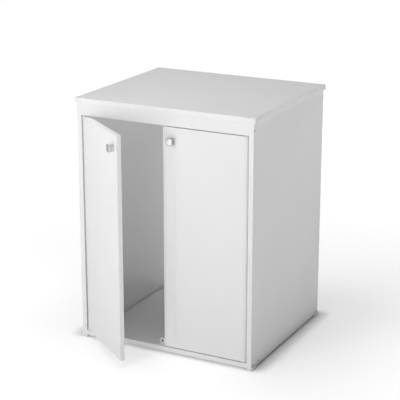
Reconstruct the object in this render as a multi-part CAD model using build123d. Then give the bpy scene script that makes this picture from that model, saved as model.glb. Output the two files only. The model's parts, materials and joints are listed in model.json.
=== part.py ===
from build123d import *
import os

# A white cabinet that stands over a laundry appliance: two side panels, a top, a rail under the
# top at the front and at the back, a low ledge at the front, and two doors on pivots. The left
# door stands open and the right one is closed. X is to the right, Y to the back and Z up.
# Every length is in millimetres and every angle in degrees.

# Overall sizes: the top with its edgings, and the height of its upper face.
cabinet_width = 720.0
cabinet_depth = 625.0
cabinet_height = 930.0
board_thickness = 18.0

# The top stands out past the side panels, and its edges carry edgings and corner caps.
top_side_overhang = 6.5
top_front_overhang = 2.0
top_rear_overhang = 2.0
top_edging_thickness = 2.0
top_edging_rounding = 0.8
cap_leg = 24.0
cap_wall = 1.5
cap_lip_width = 8.0
cap_lip_thickness = 0.8
cap_drop = 0.8
cap_corner_rounding = 3.0
cap_edge_rounding = 0.7

# The strips on the front edges of the side panels and of the ledge.
front_strip_thickness = 1.0
joint_bevel = 0.4

# The rails and the ledge between the side panels.
rail_height = 46.0
ledge_depth = 80.0
ledge_above_side_foot = 3.0

# The feet: a base under the side panel, and a lip up its outer face.
foot_height = 6.0
foot_length = 40.0
foot_wall = 4.0
foot_lip_height = 6.0
foot_rounding = 1.5

# The doors, their gaps and their profiles.
door_thickness = 18.0
door_gap = 3.0
meeting_gap = 3.0
hinge_profile_flat = 1.0
left_profile_width = 6.0
left_profile_soft_width = 3.0
right_profile_width = 48.0
right_profile_soft_width = 14.0
profile_soft_drop = 1.6
profile_back_rounding = 1.5
groove_from_joint = 6.2
groove_width = 0.8
groove_depth = 0.7
left_door_rest_angle = 37.5

# The pivots: a block in each door corner on the hinge side, a steel pin and a flanged bush.
pivot_block_height = 12.0
pivot_block_length = 14.0
knuckle_stand_out = 1.5
plug_radius = 3.0
plug_length = 20.0
plug_from_axis = 8.0
pin_radius = 3.0
block_over_pin = 2.0
pin_short_of_bush_end = 2.0
pin_running_clearance = 0.08
bush_wall = 2.0
bush_flange_width = 1.5
bush_depth = 11.0
thrust_gap = 0.3

# The knobs, each with a screw through the door.
knob_width = 26.0
knob_base_width = 22.0
knob_length = 19.0
knob_rounding = 1.2
knob_from_free_edge = 33.0
knob_from_door_top = 50.0
knob_screw_head_radius = 4.0
knob_screw_head_height = 2.4
knob_screw_shank_radius = 2.0
knob_screw_in_knob = 9.0

# The magnetic catch on the ledge, and the strike plates on the doors.
catch_width = 56.0
catch_depth = 14.0
catch_height = 22.0
catch_rounding = 1.5
magnet_radius = 4.5
magnet_thickness = 3.0
magnet_from_middle = 18.0
magnet_above_ledge = 12.0
strike_radius = 8.0
strike_thickness = 1.5
strike_clearance = 0.4
catch_screw_from_middle = 7.0
small_screw_head_radius = 3.0
small_screw_head_height = 1.8
small_screw_shank_radius = 1.5
strike_screw_length = 10.0
catch_screw_in_ledge = 12.0

# The screws through the side panels, and the dowels beside them in the rail ends.
side_screw_head_radius = 3.5
side_screw_head_height = 3.0
side_screw_shank_radius = 2.5
side_screw_length = 46.0
side_screw_head_sunk = 0.6
rail_screw_above_rail_bottom = 18.0
ledge_screw_behind_bush = 4.0
ledge_screw_from_rear = 17.0
dowel_radius = 4.0
dowel_in_side = 10.0
dowel_in_rail = 20.0
dowel_below_rail_top = 11.0

# The blocks that hold the top down on the side panels.
block_length = 32.0
block_width = 16.0
block_height = 16.0
block_bevel = 1.5
block_from_rail = 60.0
block_screw_in_board = 11.0
block_screw_spread = 8.0

# The screws of the feet, clear of the ledge's screws.
foot_screw_length = 18.0
foot_screw_from_inner_end = 7.0
foot_screw_sunk = 1.5

# Cross slots in the screw heads, the play of what is seated in a hole, and the overrun of cuts.
slot_width = 0.9
slot_depth = 1.0
slot_share = 0.7
seat_play = 0.05
overrun = 1.0

# Places that follow from the sizes above.
side_outer_x = cabinet_width / 2 - top_side_overhang
side_inner_x = side_outer_x - board_thickness
front_y = -cabinet_depth / 2 + top_front_overhang
rear_y = cabinet_depth / 2 - top_rear_overhang
top_underside = cabinet_height - board_thickness
rail_bottom = top_underside - rail_height
ledge_bottom = foot_height + ledge_above_side_foot
ledge_top = ledge_bottom + board_thickness
door_bottom = ledge_top + door_gap
door_top = rail_bottom - door_gap
half_door = door_thickness / 2
pivot_x = side_inner_x - door_gap - half_door
pivot_y = front_y + half_door
door_reach = pivot_x - meeting_gap / 2
knuckle_radius = half_door + knuckle_stand_out
pin_in_block = pivot_block_height - block_over_pin
pin_in_bush = bush_depth - pin_short_of_bush_end
bush_radius = pin_radius + bush_wall
knob_height = door_top - knob_from_door_top
magnet_height = ledge_top + magnet_above_ledge
strike_from_free_edge = magnet_from_middle - meeting_gap / 2
catch_front_y = front_y + door_thickness + strike_thickness + strike_clearance
rail_screw_height = rail_bottom + rail_screw_above_rail_bottom
dowel_height = top_underside - dowel_below_rail_top
front_rail_middle_y = front_y + board_thickness / 2
rear_rail_middle_y = rear_y - board_thickness / 2
ledge_middle_height = ledge_bottom + board_thickness / 2
ledge_rear_y = front_y + ledge_depth
foot_screw_from_outer_end = foot_length - foot_screw_from_inner_end


def block(low, high):
    """A box between two opposite corners."""
    size = [b - a for a, b in zip(low, high)]
    middle = [(a + b) / 2 for a, b in zip(low, high)]
    return Pos(*middle) * Box(*size)


def rod(radius, base, height):
    """An upright cylinder that stands on the point base."""
    x, y, z = base
    return Pos(x, y, z + height / 2) * Cylinder(radius, height)


def bevelled(solid, size):
    """The solid with all its edges bevelled."""
    return chamfer(solid.edges(), size)


def upright_prism(outline, low, high):
    """The closed outline, drawn in X and Y, raised from low to high."""
    return Pos(0, 0, low) * extrude(make_face(outline), high - low)


def screw(head_radius, head_height, shank_radius, length, play=0):
    """A screw whose head's outer face lies at the origin and whose shank runs down."""
    head = rod(head_radius + play, (0, 0, -head_height), head_height)
    shank = rod(shank_radius + play, (0, 0, -length - play), length + play)
    body = head + shank
    if play:
        return body
    reach = head_radius * slot_share
    for across in (0, 90):
        slot = block((-reach, -slot_width / 2, -slot_depth), (reach, slot_width / 2, overrun))
        body -= Rot(0, 0, across) * slot
    return body


def small_screw(length, play=0):
    """The small screw of the catch, the strike plates, the feet and the top's blocks."""
    return screw(small_screw_head_radius, small_screw_head_height, small_screw_shank_radius, length, play)


def side_screw(play=0):
    """A screw that joins a side panel to the end of a rail or of the ledge."""
    return screw(side_screw_head_radius, side_screw_head_height, side_screw_shank_radius,
                 side_screw_length, play)


def group(solids):
    """Separate solids kept in one node."""
    return Compound(list(solids))


def both_sides(solid):
    """A solid of the right side, and its mirror image on the left."""
    return [mirror(solid, about=Plane.YZ), solid]


def side_screw_places():
    """The places of the screws through the right side panel, as (y, z)."""
    return [
        (front_rail_middle_y, rail_screw_height),
        (rear_rail_middle_y, rail_screw_height),
        (pivot_y + bush_radius + ledge_screw_behind_bush, ledge_middle_height),
        (ledge_rear_y - ledge_screw_from_rear, ledge_middle_height),
    ]


def side_screw_solids(play=0):
    """The screws through the right side panel, or the holes for them with play."""
    outer_end = side_outer_x - side_screw_head_sunk
    turned = Rot(0, 90, 0) * side_screw(play)
    return [Pos(outer_end, y, z) * turned for y, z in side_screw_places()]


def sunk_head_holes():
    """The short holes outside the sunk heads of the screws in the right side."""
    hole = rod(side_screw_head_radius + seat_play, (0, 0, 0), side_screw_head_sunk + overrun)
    turned = Rot(0, 90, 0) * hole
    return [Pos(side_outer_x - side_screw_head_sunk, y, z) * turned for y, z in side_screw_places()]


def dowel_solids(play=0):
    """The dowels between the right side panel and the two rails, or the holes for them."""
    length = dowel_in_side + dowel_in_rail + 2 * play
    dowel = Rot(0, 90, 0) * rod(dowel_radius + play, (0, 0, -dowel_in_rail - play), length)
    return [Pos(side_inner_x, y, dowel_height) * dowel for y in (front_rail_middle_y, rear_rail_middle_y)]


def top_block_places():
    """The lower front inner corners of the right side's blocks under the top."""
    low_z = top_underside - block_height
    front = front_y + board_thickness + block_from_rail
    rear = rear_y - board_thickness - block_from_rail - block_length
    return [(side_inner_x - block_width, y, low_z) for y in (front, rear)]


def top_block_screw_solids(play=0):
    """The screws of the right side's blocks: one up into the top, one out into the side panel."""
    solids = []
    up = Rot(180, 0, 0) * small_screw(block_height + block_screw_in_board, play)
    out = Rot(0, -90, 0) * small_screw(block_width + block_screw_in_board, play)
    for x, y, z in top_block_places():
        middle = (x + block_width / 2, y + block_length / 2, z + block_height / 2)
        solids.append(Pos(middle[0], middle[1] - block_screw_spread, z) * up)
        solids.append(Pos(x, middle[1] + block_screw_spread, middle[2]) * out)
    return solids


def foot_screw_solids(play=0):
    """The screws from below the right side's feet into the side panel."""
    up = Rot(180, 0, 0) * small_screw(foot_screw_length, play)
    middle_x = (side_inner_x + side_outer_x) / 2
    places_y = (front_y + foot_screw_from_outer_end, rear_y - foot_screw_from_outer_end)
    return [Pos(middle_x, y, foot_screw_sunk) * up for y in places_y]


def corner_cap():
    """The cap of the right rear corner of the top: two walls, and a lip let into the top."""
    edge_x, edge_y = cabinet_width / 2, cabinet_depth / 2
    outer_x, outer_y = edge_x + cap_wall, edge_y + cap_wall
    low_z, lip_z = top_underside - cap_drop, cabinet_height - cap_lip_thickness
    inner_x, inner_y = edge_x - cap_leg, edge_y - cap_leg
    cap = block((inner_x, inner_y, low_z), (outer_x, outer_y, cabinet_height))
    cap = fillet(cap.edges().filter_by(Axis.Z).sort_by_distance((outer_x, outer_y, low_z))[:1], cap_corner_rounding)
    faces = cap.faces().sort_by(Axis.Z)
    outer_edges = []
    for face, z in ((faces[0], low_z), (faces[-1], cabinet_height)):
        outer_edges += face.edges().sort_by_distance((outer_x, outer_y, z))[:3]
    cap = fillet(outer_edges, cap_edge_rounding)
    cap -= block((inner_x - overrun, inner_y - overrun, low_z - overrun), (edge_x, edge_y, lip_z))
    cap -= block((inner_x - overrun, inner_y - overrun, lip_z - overrun),
                 (edge_x - cap_lip_width, edge_y - cap_lip_width, cabinet_height + overrun))
    return cap


def top_pieces():
    """The top board, its four edgings and its corner caps."""
    half_width, half_depth = cabinet_width / 2, cabinet_depth / 2
    core_x, core_y = half_width - top_edging_thickness, half_depth - top_edging_thickness
    rear_caps = both_sides(corner_cap())
    caps = rear_caps + [mirror(cap, about=Plane.XZ) for cap in rear_caps]
    board = block((-core_x, -core_y, top_underside), (core_x, core_y, cabinet_height))
    for cut in both_sides(group(top_block_screw_solids(seat_play))) + caps:
        board -= cut

    def edging(low, high):
        bar = block((*low, top_underside), (*high, cabinet_height))
        bar = fillet(bar.edges(), top_edging_rounding)
        for cap in caps:
            bar -= cap
        return bar

    return {
        "top_board": board,
        "top_front_edging": edging((-half_width, -half_depth), (half_width, -core_y)),
        "top_rear_edging": edging((-half_width, core_y), (half_width, half_depth)),
        "top_left_edging": edging((-half_width, -core_y), (-core_x, core_y)),
        "top_right_edging": edging((core_x, -core_y), (half_width, core_y)),
        "top_corner_caps": group(caps),
    }


def side_pieces():
    """The side panels with the strips on their front edges."""
    strip_back = front_y + front_strip_thickness
    panel = block((side_inner_x, strip_back, foot_height), (side_outer_x, rear_y, top_underside))
    for cut in side_screw_solids(seat_play) + sunk_head_holes() + dowel_solids(seat_play):
        panel -= cut
    for cut in top_block_screw_solids(seat_play) + foot_screw_solids(seat_play):
        panel -= cut
    strip = block((side_inner_x, front_y, foot_height), (side_outer_x, strip_back, top_underside))
    strip = fillet(strip.faces().sort_by(Axis.Y)[0].edges().filter_by(Axis.Z), joint_bevel)
    left_panel, right_panel = both_sides(panel)
    left_strip, right_strip = both_sides(strip)
    return {
        "left_side_panel": left_panel,
        "right_side_panel": right_panel,
        "left_side_front_strip": left_strip,
        "right_side_front_strip": right_strip,
    }


def bush_solid(play=0):
    """A flanged bush whose flange stands on the origin, or the seat for it with play."""
    body = rod(bush_radius + play, (0, 0, -bush_depth - play), bush_depth + play)
    if play:
        return body
    flange = rod(bush_radius + bush_flange_width, (0, 0, 0), door_gap - thrust_gap)
    bore = rod(pin_radius + pin_running_clearance, (0, 0, -bush_depth - overrun), bush_depth + door_gap + overrun)
    return body + flange - bore


def lower_bush(play=0):
    """The right door's bush in the ledge."""
    return Pos(pivot_x, pivot_y, ledge_top) * bush_solid(play)


def upper_bush(play=0):
    """The right door's bush in the top front rail."""
    return Pos(pivot_x, pivot_y, rail_bottom) * Rot(180, 0, 0) * bush_solid(play)


def rail_pieces():
    """The front and rear rails under the top, and the ledge with its front strip."""
    def rail(low_y, cuts):
        bar = block((-side_inner_x, low_y, rail_bottom), (side_inner_x, low_y + board_thickness, top_underside))
        bar = bevelled(bar, joint_bevel)
        for cut in cuts:
            for each in both_sides(cut):
                bar -= each
        return bar

    end_cuts = side_screw_solids(seat_play) + dowel_solids(seat_play)
    strip_back = front_y + front_strip_thickness
    ledge = block((-side_inner_x, strip_back, ledge_bottom), (side_inner_x, ledge_rear_y, ledge_top))
    for cut in side_screw_solids(seat_play) + [lower_bush(seat_play)] + catch_screws(seat_play):
        for each in both_sides(cut):
            ledge -= each
    strip = block((-side_inner_x, front_y, ledge_bottom), (side_inner_x, strip_back, ledge_top))
    strip = fillet(strip.faces().sort_by(Axis.Y)[0].edges().filter_by(Axis.X), joint_bevel)
    return {
        "top_front_rail": rail(front_y, end_cuts + [upper_bush(seat_play)]),
        "top_rear_rail": rail(rear_y - board_thickness, end_cuts),
        "bottom_ledge": ledge,
        "bottom_ledge_front_strip": strip,
    }


def foot_pieces():
    """The four feet, each a base under the side panel with a lip up its outer face."""
    pieces = {}
    outer_x = side_outer_x + foot_wall
    for name, low_y in (("front", front_y), ("rear", rear_y - foot_length)):
        high_y = low_y + foot_length
        foot = block((side_inner_x - foot_wall, low_y, 0), (outer_x, high_y, foot_height))
        foot += block((side_outer_x, low_y, 0), (outer_x, high_y, foot_height + foot_lip_height))
        foot = fillet(foot.faces().sort_by(Axis.X)[-1].edges(), foot_rounding)
        for cut in foot_screw_solids(seat_play):
            foot -= cut
            foot -= Pos(0, 0, -foot_screw_sunk) * cut
        left, right = both_sides(foot)
        pieces[f"{name}_left_foot"] = left
        pieces[f"{name}_right_foot"] = right
    return pieces


def catch_screws(play=0):
    """The right-hand screw of the catch, or its hole."""
    x, z = catch_screw_from_middle, ledge_top + catch_height
    y = catch_front_y + catch_depth / 2
    return [Pos(x, y, z) * small_screw(catch_height + catch_screw_in_ledge, play)]


def catch_pieces():
    """The magnetic catch on the ledge: its body, its magnets and its screws."""
    half = catch_width / 2
    body = block((-half, catch_front_y, ledge_top), (half, catch_front_y + catch_depth, ledge_top + catch_height))
    body = fillet(body.faces().sort_by(Axis.Z)[-1].edges(), catch_rounding)
    magnet = Rot(90, 0, 0) * rod(magnet_radius, (0, 0, -magnet_thickness), magnet_thickness)
    magnet = Pos(magnet_from_middle, catch_front_y, magnet_height) * magnet
    pocket = Rot(90, 0, 0) * rod(magnet_radius + seat_play, (0, 0, -magnet_thickness), magnet_thickness + overrun)
    pocket = Pos(magnet_from_middle, catch_front_y, magnet_height) * pocket
    for cut in [pocket] + catch_screws(seat_play):
        for each in both_sides(cut):
            body -= each
    return {
        "catch_body": body,
        "catch_magnets": group(both_sides(magnet)),
        "catch_screws": group(both_sides(catch_screws()[0])),
    }


def fixing_pieces():
    """The screws and dowels of the side panels, and the blocks that hold the top down."""
    blocks = []
    for x, y, z in top_block_places():
        body = block((x, y, z), (x + block_width, y + block_length, z + block_height))
        body = chamfer(body.edges().filter_by(Axis.Y).sort_by(Axis.Z)[:2].sort_by(Axis.X)[:1], block_bevel)
        for cut in top_block_screw_solids(seat_play):
            body -= cut
        blocks.append(body)
    groups = {
        "side_screws": side_screw_solids(),
        "rail_dowels": dowel_solids(),
        "top_fixing_blocks": blocks,
        "top_fixing_screws": top_block_screw_solids(),
        "foot_screws": foot_screw_solids(),
    }
    return {name: group(each for solid in solids for each in both_sides(solid))
            for name, solids in groups.items()}


# The doors are drawn closed, as the left one, with the pivot axis at X 0 and Y 0 and the free
# edge at X door_reach. The outer face is at Y -half_door.
def pivot_block(play=0):
    """The lower pivot block of a door, with its plug, or the room for it with play."""
    knuckle = rod(knuckle_radius, (0, 0, door_bottom), pivot_block_height)
    body = block((0, -half_door, door_bottom), (pivot_block_length, half_door, door_bottom + pivot_block_height))
    plug = rod(plug_radius + play, (plug_from_axis, 0, door_bottom), pivot_block_height + plug_length + play)
    if play:
        return body + plug
    pin_hole = rod(pin_radius + seat_play, (0, 0, door_bottom - overrun), pin_in_block + seat_play + overrun)
    return knuckle + body + plug - pin_hole


def pivot_pin():
    """The lower pivot pin of a door."""
    length = pin_in_block + door_gap + pin_in_bush
    return rod(pin_radius, (0, 0, ledge_top - pin_in_bush), length)


def turned_up(solid):
    """A piece of the door's lower end, turned over to its upper end."""
    return mirror(solid, about=Plane.XY.offset((door_bottom + door_top) / 2))


def hinge_profile():
    """The half-round profile on a door's hinge side, between its pivot blocks."""
    flat = hinge_profile_flat
    outline = Line((flat, -half_door), (0, -half_door))
    outline += ThreePointArc((0, -half_door), (-half_door, 0), (0, half_door))
    outline += Polyline((0, half_door), (flat, half_door), (flat, -half_door))
    return upright_prism(outline, door_bottom + pivot_block_height, door_top - pivot_block_height)


def free_profile(width, soft_width, grooved):
    """The profile on a door's free side, with its outer face drawn in towards the edge."""
    joint, soft, edge = door_reach - width, door_reach - soft_width, door_reach
    outline = Line((joint, -half_door), (soft, -half_door))
    outline += TangentArc((soft, -half_door), (edge, profile_soft_drop - half_door), tangent=(1, 0))
    outline += Polyline((edge, profile_soft_drop - half_door), (edge, half_door), (joint, half_door),
                        (joint, -half_door))
    profile = upright_prism(outline, door_bottom, door_top)
    back_edge = profile.edges().filter_by(Axis.Z).sort_by(Axis.X)[-2:].sort_by(Axis.Y)[-1:]
    profile = fillet(back_edge, profile_back_rounding)
    if grooved:
        low_x = joint + groove_from_joint
        profile -= block((low_x, -half_door - overrun, door_bottom - overrun),
                         (low_x + groove_width, groove_depth - half_door, door_top + overrun))
    return profile


def knob():
    """The square knob, wider at its front than at the door."""
    def square(width, y):
        return Plane.XZ.offset(-y) * Rectangle(width, width)

    body = loft([square(knob_base_width, -half_door), square(knob_width, -half_door - knob_length)])
    return fillet(body.faces().sort_by(Axis.Y)[0].edges(), knob_rounding)


def knob_screw(play=0):
    """The screw from the door's back into the knob."""
    length = knob_screw_head_height + door_thickness + knob_screw_in_knob
    turned = Rot(-90, 0, 0) * screw(knob_screw_head_radius, knob_screw_head_height, knob_screw_shank_radius,
                                    length, play)
    return Pos(0, half_door + knob_screw_head_height, 0) * turned


def strike_screw(play=0):
    """The screw of a strike plate, from the door's back."""
    turned = Rot(-90, 0, 0) * small_screw(strike_thickness + strike_screw_length, play)
    return Pos(0, half_door + strike_thickness, 0) * turned


def door_pieces(side, profile_width, soft_width, grooved):
    """All the pieces of one door, closed, in the left door's frame."""
    knob_place = Pos(door_reach - knob_from_free_edge, 0, knob_height)
    strike_place = Pos(door_reach - strike_from_free_edge, 0, magnet_height)
    panel = block((hinge_profile_flat, -half_door, door_bottom), (door_reach - profile_width, half_door, door_top))
    panel = bevelled(panel, joint_bevel)
    panel -= pivot_block(seat_play)
    panel -= turned_up(pivot_block(seat_play))
    profile = free_profile(profile_width, soft_width, grooved)
    knob_body = knob_place * knob()
    knob_hole = knob_place * knob_screw(seat_play)
    strike_hole = strike_place * strike_screw(seat_play)
    plate = Rot(-90, 0, 0) * rod(strike_radius, (0, 0, -strike_thickness), strike_thickness)
    plate = strike_place * Pos(0, half_door + strike_thickness, 0) * plate
    return {
        f"{side}_door_panel": panel - knob_hole - strike_hole,
        f"{side}_door_hinge_profile": hinge_profile(),
        f"{side}_door_free_profile": profile - knob_hole - strike_hole,
        f"{side}_door_lower_pivot_block": pivot_block(),
        f"{side}_door_upper_pivot_block": turned_up(pivot_block()),
        f"{side}_door_lower_pin": pivot_pin(),
        f"{side}_door_upper_pin": turned_up(pivot_pin()),
        f"{side}_knob": knob_body - knob_hole,
        f"{side}_knob_screw": knob_place * knob_screw(),
        f"{side}_strike_plate": plate - strike_hole,
        f"{side}_strike_screw": strike_place * strike_screw(),
    }


def placed_doors():
    """Both doors where they stand: the left one open, the right one closed."""
    left_place = Pos(-pivot_x, pivot_y, 0) * Rot(0, 0, -left_door_rest_angle)
    left = door_pieces("left", left_profile_width, left_profile_soft_width, False)
    right = door_pieces("right", right_profile_width, right_profile_soft_width, True)
    pieces = {name: left_place * solid for name, solid in left.items()}
    for name, solid in right.items():
        pieces[name] = Pos(pivot_x, pivot_y, 0) * mirror(solid, about=Plane.YZ)
    return pieces


def bush_pieces():
    """The four bushes of the door pivots."""
    left_lower, right_lower = both_sides(lower_bush())
    left_upper, right_upper = both_sides(upper_bush())
    return {
        "left_lower_bush": left_lower,
        "right_lower_bush": right_lower,
        "left_upper_bush": left_upper,
        "right_upper_bush": right_upper,
    }


def all_pieces():
    """Every piece of the cabinet, with the middle of its base on the floor at the origin."""
    pieces = {}
    for more in (top_pieces(), side_pieces(), rail_pieces(), foot_pieces(), catch_pieces(),
                 fixing_pieces(), bush_pieces(), placed_doors()):
        pieces.update(more)
    whole = group(pieces.values()).bounding_box()
    middle = whole.center()
    to_origin = Pos(-middle.X, -middle.Y, -whole.min.Z)
    print("size", whole.size, "moved by", to_origin.position)
    return {name: to_origin * solid for name, solid in pieces.items()}


if __name__ == "__main__":
    os.makedirs("parts", exist_ok=True)
    for node, solid in all_pieces().items():
        export_step(solid, f"parts/{node}.step")
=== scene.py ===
"""The looks of a white two-door laundry cabinet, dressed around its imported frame.

Lengths are in metres, angles in degrees and lamp powers in watts, unless a name says otherwise.
"""
import json
import logging
import math
from dataclasses import dataclass, field
from enum import Enum

import bmesh
import bpy
from mathutils import Matrix, Vector


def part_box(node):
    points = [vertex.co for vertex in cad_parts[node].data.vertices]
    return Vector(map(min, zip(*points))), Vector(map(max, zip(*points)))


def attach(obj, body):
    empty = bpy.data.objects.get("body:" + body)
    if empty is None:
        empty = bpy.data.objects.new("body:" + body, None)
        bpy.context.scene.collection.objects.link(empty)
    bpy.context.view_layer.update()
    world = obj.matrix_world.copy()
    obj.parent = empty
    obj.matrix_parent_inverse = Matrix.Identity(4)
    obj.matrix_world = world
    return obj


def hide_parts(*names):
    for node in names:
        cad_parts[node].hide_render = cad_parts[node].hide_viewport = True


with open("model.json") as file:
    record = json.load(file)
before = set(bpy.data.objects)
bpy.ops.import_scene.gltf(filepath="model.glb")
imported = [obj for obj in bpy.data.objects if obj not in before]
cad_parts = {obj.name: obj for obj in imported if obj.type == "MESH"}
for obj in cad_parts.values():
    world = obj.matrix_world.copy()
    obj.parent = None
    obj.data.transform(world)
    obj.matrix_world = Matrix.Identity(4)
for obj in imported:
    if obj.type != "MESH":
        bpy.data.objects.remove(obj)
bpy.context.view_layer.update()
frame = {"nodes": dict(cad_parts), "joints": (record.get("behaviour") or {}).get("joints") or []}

LOG = logging.getLogger("cabinet")
Colour = tuple[float, float, float]
Point = tuple[float, float, float]
MM = 0.001
# A surface faces a direction where the cosine between them is above this.
FACING_LIMIT = 0.9
# The sockets of Blender's mix node that take the two colours and give the result.
MIX_COLOURS = (6, 7)
MIX_RESULT = 2


class Run(Enum):
    """The direction in which a profile was drawn or a metal was brushed."""

    ALONG_X = (1.0, 0.0, 0.0)
    ALONG_Y = (0.0, 1.0, 0.0)
    ALONG_Z = (0.0, 0.0, 1.0)


class Side(Enum):
    """The side of the cabinet, seen from the front."""

    LEFT = "left"
    RIGHT = "right"


class Detail(Enum):
    """How many finer layers a noise has."""

    PLAIN = 1.0
    LIGHT = 2.0
    MEDIUM = 3.0
    RICH = 4.0


@dataclass(frozen=True)
class Turn:
    """How a door stands at rest: its pivot, and its angle from closed about the upright.

    Attributes:
        pivot: The pivot axis's foot.
        angle: The angle from closed, in degrees, positive from X to Y.
    """

    pivot: Point
    angle: float

    @classmethod
    def of(cls, side: Side) -> "Turn":
        """Reads a door's turn from its hinge, whose low limit is the closed door.

        Args:
            side: The side of the door.

        Returns:
            The door's turn.
        """
        hinge = next(joint for joint in frame["joints"] if joint["child"] == f"{side.value}_door")
        x, y, _ = hinge["pos_m"]
        return cls((x, y, 0.0), -hinge["axis"][2] * hinge["range_deg"][0])

    def matrix(self) -> Matrix:
        """The matrix that takes a point of the closed door, measured from its pivot, to its place at rest."""
        return Matrix.Translation(self.pivot) @ Matrix.Rotation(math.radians(self.angle), 4, "Z")

    def closed_box(self, node: str) -> tuple[Vector, Vector]:
        """Measures a node of the door as if the door were closed.

        Args:
            node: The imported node's name.

        Returns:
            Its lowest and highest corners, in the row frame.
        """
        back = Matrix.Translation(self.pivot) @ self.matrix().inverted()
        points = [back @ vertex.co for vertex in frame["nodes"][node].data.vertices]
        low = Vector(min(point[axis] for point in points) for axis in range(3))
        high = Vector(max(point[axis] for point in points) for axis in range(3))
        return low, high


class Graph:
    """The node tree of one finish, with short calls that add nodes and join them."""

    def __init__(self, name: str, turn: Turn | None = None) -> None:
        """Starts a material with a bare shader.

        Args:
            name: The material's name.
            turn: How the piece's own square frame is turned at rest.
        """
        self.material = bpy.data.materials.new(name)
        self.material.use_nodes = True
        self.tree = self.material.node_tree
        self.shader = self.tree.nodes["Principled BSDF"]
        coordinates = self.add("ShaderNodeTexCoord")
        self.place = coordinates.outputs["Object"]
        self.normal = coordinates.outputs["Normal"]
        if turn is not None and turn.angle:
            back = self.add("ShaderNodeVectorRotate", rotation_type="Z_AXIS")
            self.feed(back.inputs["Vector"], self.place)
            self.feed(back.inputs["Center"], turn.pivot)
            self.feed(back.inputs["Angle"], -math.radians(turn.angle))
            self.place = back.outputs[0]

    def add(self, kind: str, **settings: object) -> bpy.types.Node:
        """Adds a node.

        Args:
            kind: The node's type.
            **settings: Properties of the node, by name.

        Returns:
            The new node.
        """
        node = self.tree.nodes.new(kind)
        for name, value in settings.items():
            setattr(node, name, value)
        return node

    def feed(self, socket: bpy.types.NodeSocket, value: object) -> None:
        """Links an output to a socket, or sets the socket where the value is plain.

        Args:
            socket: The input socket.
            value: Another node's output, or a number, colour or vector.
        """
        if isinstance(value, bpy.types.NodeSocket):
            self.tree.links.new(value, socket)
        else:
            socket.default_value = value

    def math(self, operation: str, *values: object) -> bpy.types.NodeSocket:
        """Adds one sum on numbers.

        Args:
            operation: The sum's name, such as ADD.
            *values: Its terms, as numbers or outputs.

        Returns:
            The result's output.
        """
        node = self.add("ShaderNodeMath", operation=operation)
        for socket, value in zip(node.inputs, values):
            self.feed(socket, value)
        return node.outputs[0]

    def noise(self, size: float, detail: Detail = Detail.LIGHT,
              stretch: Point = (1.0, 1.0, 1.0)) -> bpy.types.NodeSocket:
        """Adds a cloudy noise in the cabinet's own metres.

        Args:
            size: The width of one cloud, in metres.
            detail: How many finer layers it has.
            stretch: How much longer the clouds are along X, Y and Z.

        Returns:
            The noise's value, from 0 to 1.
        """
        scale = self.add("ShaderNodeVectorMath", operation="MULTIPLY")
        self.feed(scale.inputs[0], self.place)
        self.feed(scale.inputs[1], tuple(1.0 / (size * axis) for axis in stretch))
        node = self.add("ShaderNodeTexNoise")
        self.feed(node.inputs["Vector"], scale.outputs[0])
        self.feed(node.inputs["Scale"], 1.0)
        self.feed(node.inputs["Detail"], detail.value)
        return node.outputs["Fac"]

    def chips(self, size: float) -> bpy.types.NodeSocket:
        """Adds a pattern of grains or chips of different brightness.

        Args:
            size: The width of one chip, in metres.

        Returns:
            Each chip's own value, from 0 to 1.
        """
        node = self.add("ShaderNodeTexVoronoi")
        self.feed(node.inputs["Vector"], self.place)
        self.feed(node.inputs["Scale"], 1.0 / size)
        parts = self.add("ShaderNodeSeparateColor")
        self.feed(parts.inputs[0], node.outputs["Color"])
        return parts.outputs[0]

    def facing(self, direction: Point) -> bpy.types.NodeSocket:
        """Finds where the surface faces a direction.

        Args:
            direction: The direction, in the piece's frame at rest.

        Returns:
            1 where it does, else 0.
        """
        node = self.add("ShaderNodeVectorMath", operation="DOT_PRODUCT")
        self.feed(node.inputs[0], self.normal)
        self.feed(node.inputs[1], direction)
        return self.math("GREATER_THAN", node.outputs["Value"], FACING_LIMIT)

    def near_floor(self, reach: float) -> bpy.types.NodeSocket:
        """Finds how near the floor the surface is.

        Args:
            reach: The height from which the result is 0.

        Returns:
            1 on the floor, falling to 0.
        """
        parts = self.add("ShaderNodeSeparateXYZ")
        self.feed(parts.inputs[0], self.place)
        return self.spread(parts.outputs[2], 1.0, 0.0, (0.0, reach))

    def near_edges(self, low: Vector, high: Vector, reach: float) -> bpy.types.NodeSocket:
        """Finds how near a board's edges the surface is.

        Args:
            low: The board's lowest corner.
            high: Its highest corner.
            reach: The distance from an edge at which the result is 0.

        Returns:
            1 on an edge, falling to 0.
        """
        parts = self.add("ShaderNodeSeparateXYZ")
        self.feed(parts.inputs[0], self.place)
        gaps = []
        for axis in range(3):
            middle, half = (low[axis] + high[axis]) / 2, (high[axis] - low[axis]) / 2
            off_middle = self.math("ABSOLUTE", self.math("SUBTRACT", parts.outputs[axis], middle))
            gaps.append(self.math("SUBTRACT", half, off_middle))
        smaller = self.math("MINIMUM", gaps[0], gaps[1])
        larger = self.math("MAXIMUM", gaps[0], gaps[1])
        second = self.math("MAXIMUM", smaller, self.math("MINIMUM", larger, gaps[2]))
        return self.spread(second, 1.0, 0.0, (0.0, reach))

    def spread(self, value: object, low: float, high: float,
               source: tuple[float, float] = (0.3, 0.7)) -> bpy.types.NodeSocket:
        """Maps a value from one span to another, and holds it at the ends.

        Args:
            value: The value to map.
            low: The result at the start of the span.
            high: The result at its end.
            source: The span of the value.

        Returns:
            The mapped output.
        """
        node = self.add("ShaderNodeMapRange")
        for socket, number in zip(node.inputs, (value, *source, low, high)):
            self.feed(socket, number)
        return node.outputs["Result"]

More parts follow.
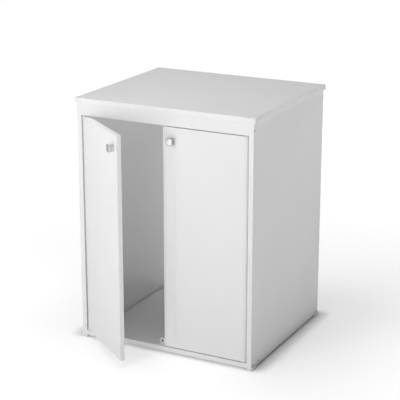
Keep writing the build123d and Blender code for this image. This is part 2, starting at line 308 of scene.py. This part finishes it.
    def blend(self, share: object, first: object, second: object) -> bpy.types.NodeSocket:
        """Mixes two colours.

        Args:
            share: How much of the second one shows.
            first: A colour or an output.
            second: A colour or an output.

        Returns:
            The mixed colour.
        """
        node = self.add("ShaderNodeMix", data_type="RGBA")
        self.feed(node.inputs["Factor"], share)
        for socket, colour in zip(MIX_COLOURS, (first, second)):
            self.feed(node.inputs[socket], (*colour, 1.0) if isinstance(colour, tuple) else colour)
        return node.outputs[MIX_RESULT]

    def relief(self, height: object, depth: float, under: object = None) -> bpy.types.NodeSocket:
        """Adds a bump.

        Args:
            height: The height's output, from 0 to 1.
            depth: The height of a full step, in metres.
            under: Another bump's output, which this one lies on.

        Returns:
            The bumped normal.
        """
        node = self.add("ShaderNodeBump")
        self.feed(node.inputs["Height"], height)
        self.feed(node.inputs["Distance"], depth)
        if under is not None:
            self.feed(node.inputs["Normal"], under)
        return node.outputs["Normal"]

    def finish(self, colour: object, roughness: object, normal: object = None,
               **sockets: float) -> bpy.types.Material:
        """Feeds the shader and hands the material over.

        Args:
            colour: The base colour.
            roughness: The roughness.
            normal: The bumped normal.
            **sockets: Plain values for the shader's other sockets, with _ for each space.

        Returns:
            The finished material.
        """
        self.feed(self.shader.inputs["Base Color"], (*colour, 1.0) if isinstance(colour, tuple) else colour)
        self.feed(self.shader.inputs["Roughness"], roughness)
        if normal is not None:
            self.feed(self.shader.inputs["Normal"], normal)
        for name, value in sockets.items():
            self.shader.inputs[name.replace("_", " ")].default_value = value
        return self.material


@dataclass(frozen=True)
class FacedBoard:
    """White melamine facing on chipboard, with the raw core showing on one hidden end.

    Attributes:
        tone: The facing's colour.
        shade: The slightly duller colour of its clouds.
        soil: The grey of handled edges and of kick marks.
        core: The colour of the chips in the raw core.
        glue: The darker colour between the chips.
        roughness: The lowest and highest roughness of the facing.
        cloud: The width of one cloud in the facing's colour.
        smear: The width of one smear of handling.
        smear_stretch: How much longer the smears are along X, Y and Z.
        speck: The width of one speck that breaks up the kick marks.
        pearl: The width of the facing's fine pearl.
        pearl_depth: How deep the pearl is.
        chip: The width of one chip in the raw core.
        chip_depth: How far the chips of the raw core stand out.
        raw_roughness: The raw core's roughness.
        edge_reach: How far handling has dulled the facing from an edge.
        edge_wear: The least and greatest share of soil on a handled edge.
        kick_height: How high shoes and mops have marked the facing.
        kick_wear: The greatest share of soil in a kick mark.
        kick_span: The span of the smears over which a kick mark comes in.
        speck_wear: The least share of a kick mark that its specks leave.
        refraction: The facing's index of refraction.
    """

    tone: Colour = (0.845, 0.845, 0.85)
    shade: Colour = (0.82, 0.82, 0.825)
    soil: Colour = (0.62, 0.615, 0.6)
    core: Colour = (0.55, 0.40, 0.24)
    glue: Colour = (0.27, 0.18, 0.10)
    roughness: tuple[float, float] = (0.35, 0.46)
    cloud: float = 0.32
    smear: float = 0.07
    smear_stretch: Point = (1.0, 1.0, 2.5)
    speck: float = 0.006
    pearl: float = 0.0011
    pearl_depth: float = 0.000012
    chip: float = 0.0022
    chip_depth: float = 0.0004
    raw_roughness: float = 0.9
    edge_reach: float = 0.004
    edge_wear: tuple[float, float] = (0.04, 0.3)
    kick_height: float = 0.14
    kick_wear: float = 0.12
    kick_span: tuple[float, float] = (0.45, 0.75)
    speck_wear: float = 0.3
    refraction: float = 1.5

    def material(self, name: str, low: Vector, high: Vector, turn: Turn | None = None,
                 raw: Point | None = None) -> bpy.types.Material:
        """Makes the finish for one board.

        Args:
            name: The material's name.
            low: The board's lowest corner, in the frame in which it is square.
            high: Its highest corner.
            turn: How the board's own frame is turned at rest.
            raw: The direction that its raw end faces, or None where all of it is faced.

        Returns:
            The board's material.
        """
        graph = Graph(name, turn)
        clouds = graph.noise(self.cloud, Detail.MEDIUM)
        smears = graph.noise(self.smear, Detail.RICH, self.smear_stretch)
        specks = graph.noise(self.speck)
        facing = graph.blend(graph.spread(clouds, 0.0, 1.0), self.tone, self.shade)
        handled = graph.math("MULTIPLY", graph.near_edges(low, high, self.edge_reach),
                             graph.spread(smears, *self.edge_wear))
        kicked = graph.math("MULTIPLY", graph.near_floor(self.kick_height),
                            graph.spread(smears, 0.0, self.kick_wear, self.kick_span))
        kicked = graph.math("MULTIPLY", kicked, graph.spread(specks, self.speck_wear, 1.0))
        worn = graph.math("MAXIMUM", handled, kicked)
        facing = graph.blend(worn, facing, self.soil)
        dull = graph.math("ADD", graph.spread(smears, *self.roughness), worn)
        pearled = graph.relief(graph.noise(self.pearl), self.pearl_depth)
        if raw is None:
            return graph.finish(facing, dull, pearled, IOR=self.refraction)
        raw_end = graph.facing(raw)
        chips = graph.chips(self.chip)
        core = graph.blend(chips, self.glue, self.core)
        rough = graph.math("MAXIMUM", dull, graph.math("MULTIPLY", raw_end, self.raw_roughness))
        broken = graph.relief(graph.math("MULTIPLY", raw_end, chips), self.chip_depth, pearled)
        return graph.finish(graph.blend(raw_end, facing, core), rough, broken, IOR=self.refraction)


@dataclass(frozen=True)
class DrawnPlastic:
    """White extruded plastic, as on the edgings, strips and door profiles.

    Attributes:
        tone: The plastic's colour.
        shade: The duller colour of its clouds and soiled places.
        soil: The grey that handling leaves in patches.
        soil_share: The greatest share of that grey.
        soil_span: The span of the smears over which the grey comes in.
        roughness: Its lowest and highest roughness.
        streak: How much a drawn line changes the roughness.
        cloud: The width of one cloud in its colour.
        smear: The width of one smear of handling.
        line: The width of one drawn line.
        line_depth: How deep the lines are.
        stretch: How many times longer than wide the lines are.
        refraction: Its index of refraction.
    """

    tone: Colour = (0.85, 0.85, 0.854)
    shade: Colour = (0.82, 0.82, 0.824)
    soil: Colour = (0.6, 0.59, 0.57)
    soil_share: float = 0.1
    soil_span: tuple[float, float] = (0.5, 0.8)
    roughness: tuple[float, float] = (0.29, 0.41)
    streak: float = 0.03
    cloud: float = 0.2
    smear: float = 0.05
    line: float = 0.0007
    line_depth: float = 0.00001
    stretch: float = 300.0
    refraction: float = 1.52

    def material(self, run: Run) -> bpy.types.Material:
        """Makes the finish for profiles drawn in one direction.

        Args:
            run: The direction in which they were drawn.

        Returns:
            The material.
        """
        graph = Graph(f"drawn_plastic_{run.name.lower()}")
        stretch = tuple(1.0 + (self.stretch - 1.0) * share for share in run.value)
        lines = graph.noise(self.line, stretch=stretch)
        smears = graph.noise(self.smear, Detail.RICH)
        clouds = graph.noise(self.cloud, Detail.MEDIUM)
        colour = graph.blend(graph.spread(clouds, 0.0, 1.0), self.tone, self.shade)
        soiled = graph.spread(smears, 0.0, self.soil_share, self.soil_span)
        colour = graph.blend(soiled, colour, self.soil)
        streaks = graph.spread(lines, -self.streak, self.streak)
        rough = graph.math("ADD", graph.spread(smears, *self.roughness), streaks)
        return graph.finish(colour, rough, graph.relief(lines, self.line_depth), IOR=self.refraction)


@dataclass(frozen=True)
class MouldedPlastic:
    """White moulded plastic with a spark-eroded grain, as on the caps, feet, bushes and blocks.

    Attributes:
        tone: The plastic's colour.
        shade: The duller colour of its clouds.
        soil: The grey of the floor's dirt on its lowest part.
        soil_share: The least and greatest share of that grey.
        roughness: Its lowest and highest roughness.
        cloud: The width of one cloud in its colour.
        smear: The width of one smear of dirt.
        grain: The width of the mould's grain.
        grain_depth: How deep the grain is.
        soil_height: How high the floor's dirt reaches.
        refraction: Its index of refraction.
    """

    tone: Colour = (0.84, 0.84, 0.842)
    shade: Colour = (0.8, 0.8, 0.802)
    soil: Colour = (0.42, 0.41, 0.39)
    soil_share: tuple[float, float] = (0.25, 0.8)
    roughness: tuple[float, float] = (0.41, 0.54)
    cloud: float = 0.03
    smear: float = 0.012
    grain: float = 0.0005
    grain_depth: float = 0.00002
    soil_height: float = 0.005
    refraction: float = 1.5

    def material(self) -> bpy.types.Material:
        """Makes the finish.

        Returns:
            The material.
        """
        graph = Graph("moulded_plastic")
        grain = graph.noise(self.grain, Detail.PLAIN)
        smears = graph.noise(self.smear, Detail.RICH)
        clouds = graph.noise(self.cloud, Detail.MEDIUM)
        colour = graph.blend(graph.spread(clouds, 0.0, 1.0), self.tone, self.shade)
        dirt = graph.math("MULTIPLY", graph.near_floor(self.soil_height),
                          graph.spread(smears, *self.soil_share))
        colour = graph.blend(dirt, colour, self.soil)
        rough = graph.math("ADD", graph.spread(smears, *self.roughness), dirt)
        return graph.finish(colour, rough, graph.relief(grain, self.grain_depth), IOR=self.refraction)


@dataclass(frozen=True)
class Metal:
    """A bare or plated metal with its brushed, turned or crystalline surface.

    Attributes:
        name: The finish's name.
        tone: The metal's colour.
        dull: Its colour where it is handled or tarnished.
        roughness: The lowest and highest roughness.
        mark: The width of one brush line or crystal.
        stretch: How much longer the marks are along X, Y and Z.
        mark_depth: How deep the marks are.
        smear: The width of the duller clouds.
        dull_span: The span of the clouds over which the dull colour comes in.
        streak: How much a mark changes the roughness.
    """

    name: str
    tone: Colour
    dull: Colour
    roughness: tuple[float, float]
    mark: float
    stretch: Point
    mark_depth: float
    smear: float
    dull_span: tuple[float, float] = (0.4, 0.75)
    streak: float = 0.03

    def material(self) -> bpy.types.Material:
        """Makes the finish.

        Returns:
            The material.
        """
        graph = Graph(self.name)
        marks = graph.noise(self.mark, stretch=self.stretch)
        smears = graph.noise(self.smear, Detail.RICH)
        colour = graph.blend(graph.spread(smears, 0.0, 1.0, self.dull_span), self.tone, self.dull)
        streaks = graph.spread(marks, -self.streak, self.streak)
        rough = graph.math("ADD", graph.spread(smears, *self.roughness), streaks)
        return graph.finish(colour, rough, graph.relief(marks, self.mark_depth), Metallic=1.0)


@dataclass(frozen=True)
class Ferrite:
    """Black sintered magnet, ground flat.

    Attributes:
        tone: The colour of the ground face.
        dust: The grey of its open grains.
        smear: The width of one patch of open grains.
        grain: The width of one grain.
        grain_depth: How far a grain stands out.
        roughness: The lowest and highest roughness of a grain.
        refraction: Its index of refraction.
    """

    tone: Colour = (0.022, 0.022, 0.024)
    dust: Colour = (0.07, 0.068, 0.066)
    smear: float = 0.004
    grain: float = 0.0006
    grain_depth: float = 0.00003
    roughness: tuple[float, float] = (0.45, 0.7)
    refraction: float = 1.8

    def material(self) -> bpy.types.Material:
        """Makes the finish.

        Returns:
            The material.
        """
        graph = Graph("ferrite")
        grains = graph.chips(self.grain)
        smears = graph.noise(self.smear, Detail.MEDIUM)
        colour = graph.blend(graph.spread(smears, 0.0, 1.0), self.tone, self.dust)
        rough = graph.spread(grains, *self.roughness, (0.0, 1.0))
        return graph.finish(colour, rough, graph.relief(grains, self.grain_depth), IOR=self.refraction)


@dataclass(frozen=True)
class Beech:
    """Steamed beech of the dowels, with its grain along them.

    Attributes:
        tone: The early wood's colour.
        late: The late wood's colour.
        grain: The width of one grain line.
        stretch: How much longer the lines are along X, Y and Z.
        grain_depth: How deep the lines are.
        roughness: The lowest and highest roughness.
        refraction: Its index of refraction.
    """

    tone: Colour = (0.62, 0.44, 0.28)
    late: Colour = (0.44, 0.28, 0.16)
    grain: float = 0.0008
    stretch: Point = (30.0, 1.0, 1.0)
    grain_depth: float = 0.00005
    roughness: tuple[float, float] = (0.55, 0.75)
    refraction: float = 1.45

    def material(self) -> bpy.types.Material:
        """Makes the finish.

        Returns:
            The material.
        """
        graph = Graph("beech")
        lines = graph.noise(self.grain, Detail.MEDIUM, self.stretch)
        colour = graph.blend(graph.spread(lines, 0.0, 1.0), self.tone, self.late)
        rough = graph.spread(lines, *self.roughness)
        return graph.finish(colour, rough, graph.relief(lines, self.grain_depth), IOR=self.refraction)


@dataclass(frozen=True)
class StudioFloor:
    """The plain pale floor, a sheet lit from below like a photographer's white table.

    Attributes:
        tone: The floor's colour.
        shade: The colour of its faint clouds.
        cloud: The width of one cloud.
        roughness: Its roughness.
        grain: The width of its fine grain.
        grain_depth: How deep the grain is.
        middle: The middle of the dark rectangle under the cabinet.
        half: Half of that rectangle's width and depth.
        near_glow: How strongly the sheet is lit around the cabinet.
        near_reach: The distance from the rectangle over which that light grows.
        far_glow: How much more it is lit further off.
        far_reach: The distances from the rectangle between which that grows.
    """

    tone: Colour = (0.92, 0.92, 0.92)
    shade: Colour = (0.9, 0.9, 0.9)
    cloud: float = 1.5
    roughness: float = 0.7
    grain: float = 0.003
    grain_depth: float = 0.00002
    middle: Point = (-0.004, 0.11, 0.0)
    half: Point = (0.356, 0.285, 0.0)
    near_glow: float = 0.42
    near_reach: float = 0.06
    far_glow: float = 0.5
    far_reach: tuple[float, float] = (0.2, 2.4)

    def material(self) -> bpy.types.Material:
        """Makes the finish.

        Returns:
            The material.
        """
        graph = Graph("studio_floor")
        colour = graph.blend(graph.spread(graph.noise(self.cloud), 0.0, 1.0), self.tone, self.shade)
        grain = graph.relief(graph.noise(self.grain), self.grain_depth)
        material = graph.finish(colour, self.roughness, grain)
        outside = graph.place
        for operation, amount in (("SUBTRACT", self.middle), ("ABSOLUTE", None), ("SUBTRACT", self.half),
                                  ("MAXIMUM", (0.0, 0.0, 0.0)), ("LENGTH", None)):
            step = graph.add("ShaderNodeVectorMath", operation=operation)
            graph.feed(step.inputs[0], outside)
            if amount is not None:
                graph.feed(step.inputs[1], amount)
            outside = step.outputs["Value" if operation == "LENGTH" else "Vector"]
        near = graph.spread(outside, 0.0, self.near_glow, (0.0, self.near_reach))
        glow = graph.math("ADD", near, graph.spread(outside, 0.0, self.far_glow, self.far_reach))
        graph.shader.inputs["Emission Color"].default_value = (1.0, 1.0, 1.0, 1.0)
        graph.feed(graph.shader.inputs["Emission Strength"], glow)
        return material


@dataclass
class Finishes:
    """The finishes that several sub-assemblies share, each made once.

    Attributes:
        board: The facing of the boards.
        drawn: The drawn plastic, by the direction in which it was drawn.
        moulded: The moulded plastic of the small parts.
        chrome: The satin chrome of a knob's sides.
        front_chrome_painted_dark: The polished chrome of a knob's front, darkened below the sides' chrome to
            paint a dark reflection of the room on it.
        bright_steel: The pins, and the screws of the knobs, strike plates and catch.
        zinc: The zinc plate of the strike plates and of the other screws.
        ferrite: The magnets.
        beech: The dowels.
    """

    board: FacedBoard = field(default_factory=FacedBoard)
    drawn: dict[Run, bpy.types.Material] = field(init=False)
    moulded: bpy.types.Material = field(init=False)
    chrome: bpy.types.Material = field(init=False)
    front_chrome_painted_dark: bpy.types.Material = field(init=False)
    bright_steel: bpy.types.Material = field(init=False)
    zinc: bpy.types.Material = field(init=False)
    ferrite: bpy.types.Material = field(init=False)
    beech: bpy.types.Material = field(init=False)

    def __post_init__(self) -> None:
        """Makes the shared materials."""
        self.drawn = {run: DrawnPlastic().material(run) for run in Run}
        self.moulded = MouldedPlastic().material()
        self.chrome = Metal(
            "satin_chrome", tone=(0.64, 0.64, 0.64), dull=(0.54, 0.54, 0.54), roughness=(0.16, 0.26),
            mark=0.0003, stretch=(1.0, 1.0, 40.0), mark_depth=0.000004, smear=0.006).material()
        # Painted reflection: the front's chrome is darkened to about half the tone of the sides, to stand for
        # the dark room that the front mirrors.
        self.front_chrome_painted_dark = Metal(
            "chrome_painted_dark_reflection", tone=(0.31, 0.31, 0.31), dull=(0.25, 0.25, 0.25), roughness=(0.12, 0.2),
            mark=0.0004, stretch=(1.0, 1.0, 20.0), mark_depth=0.000002, smear=0.006).material()
        self.bright_steel = Metal(
            "bright_steel", tone=(0.64, 0.63, 0.62), dull=(0.5, 0.48, 0.46), roughness=(0.22, 0.36),
            mark=0.0002, stretch=(1.0, 1.0, 1.0), mark_depth=0.000005, smear=0.004).material()
        self.zinc = Metal(
            "zinc_plate", tone=(0.4, 0.41, 0.42), dull=(0.28, 0.28, 0.28), roughness=(0.3, 0.48),
            mark=0.0005, stretch=(1.0, 1.0, 1.0), mark_depth=0.00001, smear=0.002).material()
        self.ferrite = Ferrite().material()
        self.beech = Beech().material()

    def cover(self, node: str, material: bpy.types.Material) -> None:
        """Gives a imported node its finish.

        Args:
            node: The node's name.
            material: Its material.
        """
        piece = frame["nodes"][node]
        if not piece.material_slots:
            piece.data.materials.append(material)
        for slot in piece.material_slots:
            slot.material = material

    def cover_board(self, node: str, raw: Point | None = None, turn: Turn | None = None) -> None:
        """Gives a packed board the facing made for its own edges.

        Args:
            node: The node's name.
            raw: The direction that its raw end faces, or None where all of it is faced.
            turn: How the door that holds it is turned at rest.
        """
        low, high = turn.closed_box(node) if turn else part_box(node)
        self.cover(node, self.board.material(f"{node}_facing", low, high, turn, raw))


@dataclass
class SubAssembly:
    """A group of pieces that is built and dressed together.

    Attributes:
        finishes: The shared finishes.
    """

    finishes: Finishes

    def report(self, count: int) -> None:
        """Logs what has been made.

        Args:
            count: How many pieces the sub-assembly has.
        """
        LOG.info("%s: %d pieces", type(self).__name__, count)


@dataclass
class Top(SubAssembly):
    """The top board with its four edgings and its corner caps.

    Attributes:
        edgings: Each edging's place, and the direction in which it was drawn.
    """

    edgings: tuple[tuple[str, Run], ...] = (
        ("front", Run.ALONG_X), ("rear", Run.ALONG_X), ("left", Run.ALONG_Y), ("right", Run.ALONG_Y))

    def dress(self) -> None:
        """Gives the board, the edgings and the caps their finishes."""
        self.finishes.cover_board("top_board")
        for name, run in self.edgings:
            self.finishes.cover(f"top_{name}_edging", self.finishes.drawn[run])
        self.finishes.cover("top_corner_caps", self.finishes.moulded)
        self.report(len(self.edgings) + 2)


@dataclass
class SidePanel(SubAssembly):
    """One side panel with the strip on its front edge.

    Attributes:
        side: The side that it stands on.
    """

    side: Side

    def dress(self) -> None:
        """Gives the panel and its strip their finishes."""
        self.finishes.cover_board(f"{self.side.value}_side_panel")
        self.finishes.cover(f"{self.side.value}_side_front_strip", self.finishes.drawn[Run.ALONG_Z])
        self.report(2)


@dataclass
class CrossMembers(SubAssembly):
    """The two rails under the top, and the ledge at the floor with its strip.

    Attributes:
        rails: The nodes of the rails.
        raw_end: The direction that the ledge's raw chipboard edge faces.
    """

    rails: tuple[str, ...] = ("top_front_rail", "top_rear_rail")
    raw_end: Point = (0.0, 1.0, 0.0)

    def dress(self) -> None:
        """Gives the rails, the ledge and its strip their finishes."""
        for rail in self.rails:
            self.finishes.cover_board(rail)
        self.finishes.cover_board("bottom_ledge", raw=self.raw_end)
        self.finishes.cover("bottom_ledge_front_strip", self.finishes.drawn[Run.ALONG_X])
        self.report(len(self.rails) + 2)


@dataclass
class Feet(SubAssembly):
    """The four feet and their screws.

    Attributes:
        ends: The ends of a side panel that have a foot.
    """

    ends: tuple[str, ...] = ("front", "rear")

    def dress(self) -> None:
        """Gives the feet and their screws their finishes."""
        names = [f"{end}_{side.value}_foot" for end in self.ends for side in Side]
        for name in names:
            self.finishes.cover(name, self.finishes.moulded)
        self.finishes.cover("foot_screws", self.finishes.zinc)
        self.report(len(names) + 1)


@dataclass
class Catch(SubAssembly):
    """The magnetic catch on the ledge."""

    def dress(self) -> None:
        """Gives the body, the magnets and the screws their finishes."""
        self.finishes.cover("catch_body", self.finishes.moulded)
        self.finishes.cover("catch_magnets", self.finishes.ferrite)
        self.finishes.cover("catch_screws", self.finishes.bright_steel)
        self.report(3)


@dataclass
class Fixings(SubAssembly):
    """The screws, dowels, blocks and bushes that hold the cabinet and its doors."""

    def dress(self) -> None:
        """Gives the fixings their finishes."""
        finishes = self.finishes
        table = {"side_screws": finishes.zinc, "top_fixing_screws": finishes.zinc,
                 "top_fixing_blocks": finishes.moulded, "rail_dowels": finishes.beech}
        for side in Side:
            for level in ("lower", "upper"):
                table[f"{side.value}_{level}_bush"] = finishes.moulded
        for name, material in table.items():
            finishes.cover(name, material)
        self.report(len(table))


@dataclass
class Knob(SubAssembly):
    """The square metal knob of a door, flared to a rimmed and slightly dished front.

    Attributes:
        side: The side of the door that it is on.
        place: Where the knob's foot stands, and how it is turned, with its length along -Y.
        stations: Each ring's distance from the door, half width and corner radius.
        corner_steps: How many edges round each corner has.
        face_from: The station from which the front is polished, in chrome darkened to paint a dark
            reflection.
    """

    side: Side
    place: Matrix
    stations: tuple[tuple[float, float, float], ...] = (
        (0.0, 0.0106, 0.0014), (0.0004, 0.011, 0.0016), (0.0024, 0.011, 0.0016),
        (0.0034, 0.0106, 0.0016), (0.007, 0.0108, 0.0017), (0.0116, 0.0114, 0.0018),
        (0.0148, 0.0121, 0.0019), (0.0168, 0.0127, 0.002), (0.0174, 0.01285, 0.002),
        (0.018, 0.01285, 0.002), (0.0184, 0.0126, 0.0019), (0.0187, 0.0123, 0.0018),
        (0.0189, 0.0119, 0.0017), (0.0189, 0.0117, 0.0016), (0.01875, 0.0114, 0.0016),
        (0.01865, 0.0111, 0.0016), (0.01862, 0.0104, 0.002), (0.0186, 0.006, 0.0024),
        (0.0186, 0.003, 0.0016))
    corner_steps: int = 6
    face_from: int = 13

    def ring(self, mesh: bmesh.types.BMesh, station: tuple[float, float, float]) -> list[bmesh.types.BMVert]:
        """Adds one rounded square.

        Args:
            mesh: The mesh to add it to.
            station: Its distance from the door, half width and corner radius.

        Returns:
            Its vertices, in order.
        """
        along, half, radius = station
        inner = half - radius
        vertices = []
        for corner, (sign_x, sign_z) in enumerate(((1, 1), (-1, 1), (-1, -1), (1, -1))):
            for step in range(self.corner_steps + 1):
                angle = math.radians(90.0 * (corner + step / self.corner_steps))
                x = sign_x * inner + radius * math.cos(angle)
                z = sign_z * inner + radius * math.sin(angle)
                vertices.append(mesh.verts.new((x, -along, z)))
        return vertices

    def build(self) -> bpy.types.Object:
        """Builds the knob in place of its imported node.

        Returns:
            The knob.
        """
        mesh = bmesh.new()
        rings = [self.ring(mesh, station) for station in self.stations]
        for station, (near, far) in enumerate(zip(rings, rings[1:])):
            for index in range(len(near)):
                after = (index + 1) % len(near)
                face = mesh.faces.new((near[index], near[after], far[after], far[index]))
                face.material_index = int(station >= self.face_from)
        mesh.faces.new(reversed(rings[0]))
        mesh.faces.new(rings[-1]).material_index = 1
        bmesh.ops.recalc_face_normals(mesh, faces=mesh.faces)
        for face in mesh.faces:
            face.smooth = True
        mesh.transform(self.place)
        data = bpy.data.meshes.new(f"{self.side.value}_dished_knob")
        mesh.to_mesh(data)
        mesh.free()
        knob = bpy.data.objects.new(data.name, data)
        bpy.context.scene.collection.objects.link(knob)
        data.materials.append(self.finishes.chrome)
        # The front's slot takes the chrome darkened to paint a dark reflection.
        data.materials.append(self.finishes.front_chrome_painted_dark)
        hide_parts(f"{self.side.value}_knob")
        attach(knob, f"{self.side.value}_door")
        self.report(1)
        return knob


@dataclass
class Door(SubAssembly):
    """One door with its profiles, pivots, knob and strike plate.

    Attributes:
        side: The side that it hinges on.
        turn: How it stands at rest.
        half_thickness: Half of the door's thickness.
        reach: The distance from the pivot to the free edge.
        knob_from_free_edge: The distance of the knob's middle from the free edge.
        knob_height: The height of the knob's middle.
    """

    side: Side
    turn: Turn
    half_thickness: float = 9 * MM
    reach: float = 322 * MM
    knob_from_free_edge: float = 33 * MM
    knob_height: float = 813 * MM

    def dress(self) -> None:
        """Gives the door's nodes their finishes and builds its knob."""
        finishes, side = self.finishes, self.side.value
        finishes.cover_board(f"{side}_door_panel", turn=self.turn)
        table = {"door_hinge_profile": finishes.drawn[Run.ALONG_Z],
                 "door_free_profile": finishes.drawn[Run.ALONG_Z],
                 "knob_screw": finishes.bright_steel, "strike_screw": finishes.bright_steel,
                 "strike_plate": finishes.zinc}
        for level in ("lower", "upper"):
            table[f"door_{level}_pivot_block"] = finishes.moulded
            table[f"door_{level}_pin"] = finishes.bright_steel
        for name, material in table.items():
            finishes.cover(f"{side}_{name}", material)
        self.report(len(table) + 1)
        outward = 1.0 if self.side is Side.LEFT else -1.0
        along = outward * (self.reach - self.knob_from_free_edge)
        foot = Matrix.Translation((along, -self.half_thickness, self.knob_height))
        Knob(finishes, self.side, self.turn.matrix() @ foot).build()


@dataclass
class Softbox:
    """One soft studio lamp.

    Attributes:
        name: The lamp's name.
        place: Where it hangs.
        aim: The point that it faces.
        width: Its width.
        height: Its height.
        power: Its power in watts.
    """

    name: str
    place: Point
    aim: Point
    width: float
    height: float
    power: float

    def hang(self) -> None:
        """Hangs the lamp."""
        data = bpy.data.lights.new(self.name, "AREA")
        data.shape = "RECTANGLE"
        data.size, data.size_y = self.width, self.height
        data.energy = self.power
        lamp = bpy.data.objects.new(self.name, data)
        bpy.context.scene.collection.objects.link(lamp)
        lamp.location = self.place
        lamp.rotation_euler = (Vector(self.aim) - Vector(self.place)).to_track_quat("-Z", "Y").to_euler()


@dataclass
class Studio:
    """The pale floor and the soft light.

    Attributes:
        floor_half: Half of the floor's width.
        floor_squares: How many squares the floor has each way.
        room: The brightness of the room above.
        horizon: The brightness of the room's far wall.
        horizon_height: How high that wall reaches, as the sine of the angle seen.
        lamps: The softboxes.
    """

    floor_half: float = 40.0
    floor_squares: int = 16
    room: float = 0.08
    horizon: float = 0.9
    horizon_height: float = 0.12
    lamps: tuple[Softbox, ...] = (
        Softbox("key_softbox", place=(-0.35, -1.5, 1.6), aim=(0.0, -0.2, 0.7),
                width=0.6, height=0.6, power=5.35),
        Softbox("low_front_softbox", place=(-1.0, -5.0, 1.0), aim=(0.0, 0.0, 0.5),
                width=2.0, height=2.0, power=35.5),
        Softbox("overhead_softbox", place=(-0.05, 0.3, 3.8), aim=(0.0, 0.0, 0.5),
                width=2.4, height=2.6, power=46.0),
        Softbox("top_softbox", place=(-0.2, -0.3, 2.6), aim=(-0.1, 0.0, 0.9),
                width=1.2, height=1.2, power=10.2),
        Softbox("knob_card", place=(-0.74, -1.6, 0.35), aim=(0.0, -0.2, 0.8),
                width=0.35, height=0.35, power=0.9))

    def lay_floor(self) -> None:
        """Lays the floor, cut into squares and laid level at the feet."""
        mesh = bmesh.new()
        bmesh.ops.create_grid(mesh, x_segments=self.floor_squares, y_segments=self.floor_squares,
                              size=self.floor_half)
        data = bpy.data.meshes.new("studio_floor")
        mesh.to_mesh(data)
        mesh.free()
        data.materials.append(StudioFloor().material())
        floor = bpy.data.objects.new("studio_floor", data)
        bpy.context.scene.collection.objects.link(floor)

    def light(self) -> None:
        """Sets the room's light and hangs the lamps."""
        world = bpy.data.worlds.new("studio_room")
        world.use_nodes = True
        tree = world.node_tree
        direction = tree.nodes.new("ShaderNodeSeparateXYZ")
        fade = tree.nodes.new("ShaderNodeMapRange")
        tree.links.new(tree.nodes.new("ShaderNodeTexCoord").outputs["Generated"], direction.inputs[0])
        tree.links.new(direction.outputs[2], fade.inputs["Value"])
        for name, value in (("From Min", 0.0), ("From Max", self.horizon_height),
                            ("To Min", self.horizon), ("To Max", self.room)):
            fade.inputs[name].default_value = value
        tree.links.new(fade.outputs["Result"], tree.nodes["Background"].inputs["Color"])
        bpy.context.scene.world = world
        bpy.context.scene.view_settings.view_transform = "Standard"
        for lamp in self.lamps:
            lamp.hang()

    def set_up(self) -> None:
        """Makes the floor and the light."""
        self.lay_floor()
        self.light()
        LOG.info("Studio: %d lamps", len(self.lamps))


@dataclass
class PhotoCamera:
    """The camera at the photograph's viewing angle.

    Attributes:
        place: Where it stands.
        pitch: How far it looks down, in degrees.
        yaw: How far it is turned from +Y towards -X, in degrees.
        lens: The lens, in millimetres.
        sensor: The width of the sensor, in millimetres.
        view_end: How far it sees.
    """

    place: Point = (2.1557, -4.1018, 1.9547)
    pitch: float = 17.045
    yaw: float = 27.307
    lens: float = 117.27
    sensor: float = 36.0
    view_end: float = 200.0

    def set_up(self) -> None:
        """Makes the camera and gives it to the scene."""
        data = bpy.data.cameras.new("photo_camera")
        data.lens = self.lens
        data.sensor_width = self.sensor
        data.clip_end = self.view_end
        camera = bpy.data.objects.new("photo_camera", data)
        bpy.context.scene.collection.objects.link(camera)
        camera.location = self.place
        camera.rotation_euler = (math.radians(90.0 - self.pitch), 0.0, math.radians(self.yaw))
        bpy.context.scene.camera = camera
        LOG.info("PhotoCamera: lens %.1f mm", self.lens)


def main() -> None:
    """Builds and dresses the cabinet, its studio and its camera."""
    logging.basicConfig(level=logging.INFO, format="%(message)s")
    PhotoCamera().set_up()
    Studio().set_up()
    finishes = Finishes()
    Top(finishes).dress()
    for side in Side:
        SidePanel(finishes, side).dress()
    CrossMembers(finishes).dress()
    Feet(finishes).dress()
    Catch(finishes).dress()
    Fixings(finishes).dress()
    for side in Side:
        Door(finishes, side, Turn.of(side)).dress()


if __name__ == "__main__":
    main()
